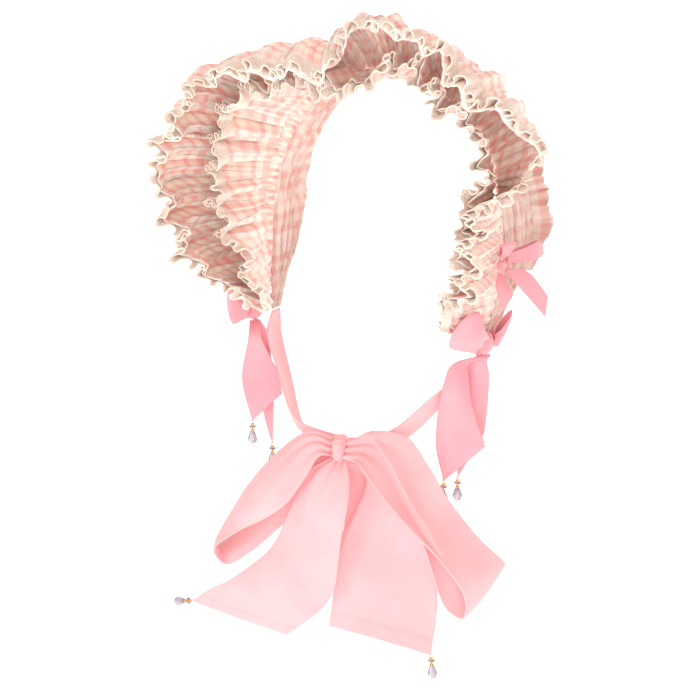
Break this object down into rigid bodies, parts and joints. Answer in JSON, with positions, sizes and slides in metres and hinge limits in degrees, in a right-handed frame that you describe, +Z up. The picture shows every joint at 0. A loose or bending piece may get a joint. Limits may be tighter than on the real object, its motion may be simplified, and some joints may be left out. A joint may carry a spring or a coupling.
{
  "type": "half bonnet",
  "caption": "Half bonnet with a gathered check brim, lace edges, satin side bows and a wide pink chin tie.",
  "frame": {"origin": "crown seat: the middle of the band's underside, on top of the wearer's head", "axes": "+Z up, -Y the way the wearer looks, +X the wearer's left"},
  "size_m": [0.2604, 0.1441, 0.431],
  "materials": {
    "check_cloth": "soft brushed cotton in a cream and pink check",
    "cotton_lace": "cream cotton lace, matte",
    "pink_satin": "satin ribbon with a soft sheen",
    "pink_cotton": "plain woven cotton, matte",
    "crystal": "clear faceted glass in gilt caps"
  },
  "bodies": {
    "root": {"back_frill": "check_cloth", "band": "check_cloth", "brim": "check_cloth", "brim_lace": "cotton_lace", "chin_knot": "pink_cotton", "chin_loop_left": "pink_cotton", "chin_loop_right": "pink_cotton", "chin_strap_left": "pink_cotton", "chin_strap_right": "pink_cotton", "chin_tail_left": "pink_cotton", "chin_tail_right": "pink_cotton", "drop_chin_left": "crystal", "drop_chin_right": "crystal", "drop_side_left_front": "crystal", "drop_side_left_rear": "crystal", "drop_side_right_front": "crystal", "drop_side_right_rear": "crystal", "inner_frill": "check_cloth", "inner_frill_lace": "cotton_lace", "side_bow_left_knot": "pink_satin", "side_bow_left_loop_front": "pink_satin", "side_bow_left_loop_rear": "pink_satin", "side_bow_left_tail_front": "pink_satin", "side_bow_left_tail_rear": "pink_satin", "side_bow_right_knot": "pink_satin", "side_bow_right_loop_front": "pink_satin", "side_bow_right_loop_rear": "pink_satin", "side_bow_right_tail_front": "pink_satin", "side_bow_right_tail_rear": "pink_satin", "small_bow_left_knot": "pink_satin", "small_bow_left_loop_front": "pink_satin", "small_bow_left_loop_rear": "pink_satin", "small_bow_left_tail_front": "pink_satin", "small_bow_left_tail_rear": "pink_satin", "small_bow_right_knot": "pink_satin", "small_bow_right_loop_front": "pink_satin", "small_bow_right_loop_rear": "pink_satin", "small_bow_right_tail_front": "pink_satin", "small_bow_right_tail_rear": "pink_satin"}
  },
  "joints": []
}
